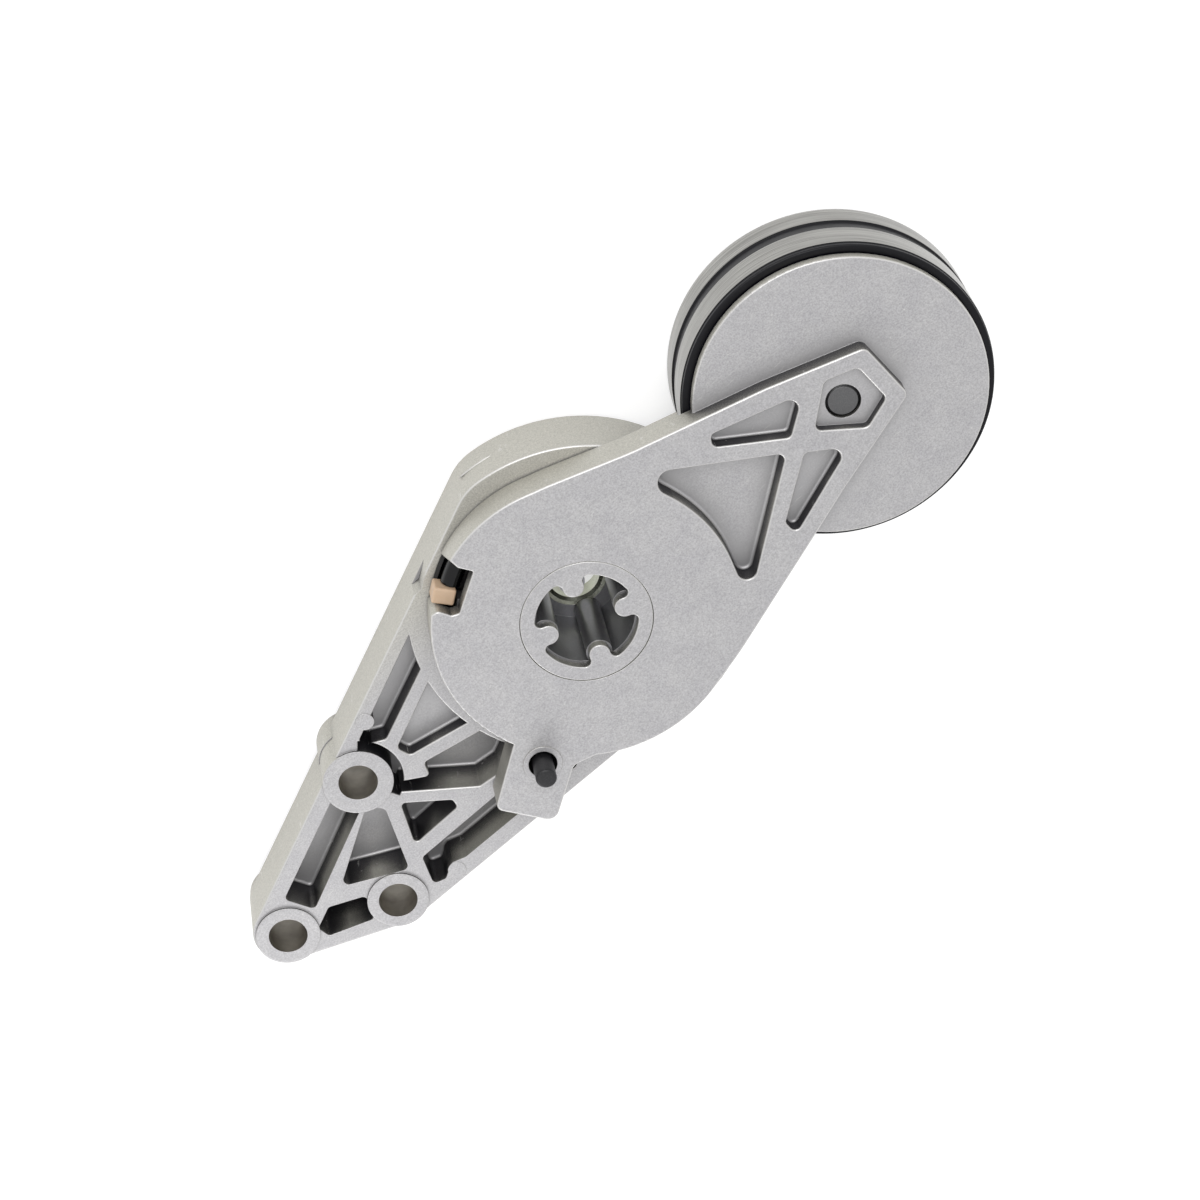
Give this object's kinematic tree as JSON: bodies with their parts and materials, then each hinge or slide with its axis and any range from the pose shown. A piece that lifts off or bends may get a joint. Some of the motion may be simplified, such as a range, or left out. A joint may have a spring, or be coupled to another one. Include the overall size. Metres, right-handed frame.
{
  "type": "belt tensioner idler",
  "caption": "Spring-loaded belt tensioner: ribbed cast bracket, swinging cast arm on a pivot hub, smooth steel idler pulley on a ball bearing, locking pin.",
  "frame": {"origin": "on the arm's pivot axis, in the plane of the mounting feet", "axes": "+X from the pivot to the pulley at rest, +Z out of the mounting plane along the pivot axis"},
  "size_m": [0.2242, 0.0779, 0.0343],
  "materials": {
    "cast_alu": "tumbled die casting",
    "black_steel": "black phosphate",
    "zinc_steel": "zinc plated",
    "nylon": "moulded",
    "spring_steel": "gloss black coating",
    "rubber": "moulded",
    "turned_steel": "turned, with black coated bands",
    "bearing_steel": "ground",
    "cage_plastic": "moulded"
  },
  "bodies": {
    "bracket": {"bracket": "cast_alu", "pivot_tube": "black_steel", "pivot_ring": "zinc_steel", "retaining_plate": "cast_alu"},
    "arm": {"arm": "cast_alu", "thrust_washer": "nylon", "bush_lower": "nylon", "bush_upper": "nylon", "torsion_spring": "spring_steel", "spring_block": "nylon", "block_saddle": "black_steel", "rim_seal": "rubber", "pin_bush": "cast_alu", "inner_race": "bearing_steel", "bearing_spacer": "zinc_steel", "dust_cap": "black_steel", "bolt_washer": "zinc_steel", "pulley_bolt": "black_steel"},
    "pulley": {"pulley_rim": "turned_steel", "outer_race": "bearing_steel", "seal_front": "rubber", "seal_rear": "rubber"},
    "ball_set": {"ball_cage": "cage_plastic", "ball_1": "bearing_steel", "ball_2": "bearing_steel", "ball_3": "bearing_steel", "ball_4": "bearing_steel", "ball_5": "bearing_steel", "ball_6": "bearing_steel", "ball_7": "bearing_steel", "ball_8": "bearing_steel"},
    "pin": {"lock_pin": "black_steel"}
  },
  "joints": [
    {"name": "arm_hinge", "type": "hinge", "parent": "bracket", "child": "arm", "pos_m": [0, 0, 0], "axis": [0, 0, 1], "range_deg": [-15, 30], "stiffness_Nm_per_rad": 12, "springref_deg": 68.75, "deforming": ["torsion_spring"]},
    {"name": "pulley_spin", "type": "hinge", "parent": "arm", "child": "pulley", "pos_m": [0.075, 0, 0], "axis": [0, 0, 1], "continuous": true},
    {"name": "ball_set_spin", "type": "hinge", "parent": "arm", "child": "ball_set", "pos_m": [0.075, 0, 0], "axis": [0, 0, 1], "continuous": true},
    {"name": "pin_slide", "type": "slide", "parent": "arm", "child": "pin", "axis": [0, 0, 1], "range_m": [0, 0.02]}
  ],
  "couplings": [
    {"joint": "ball_set_spin", "follows": "pulley_spin", "ratio": 0.619}
  ]
}
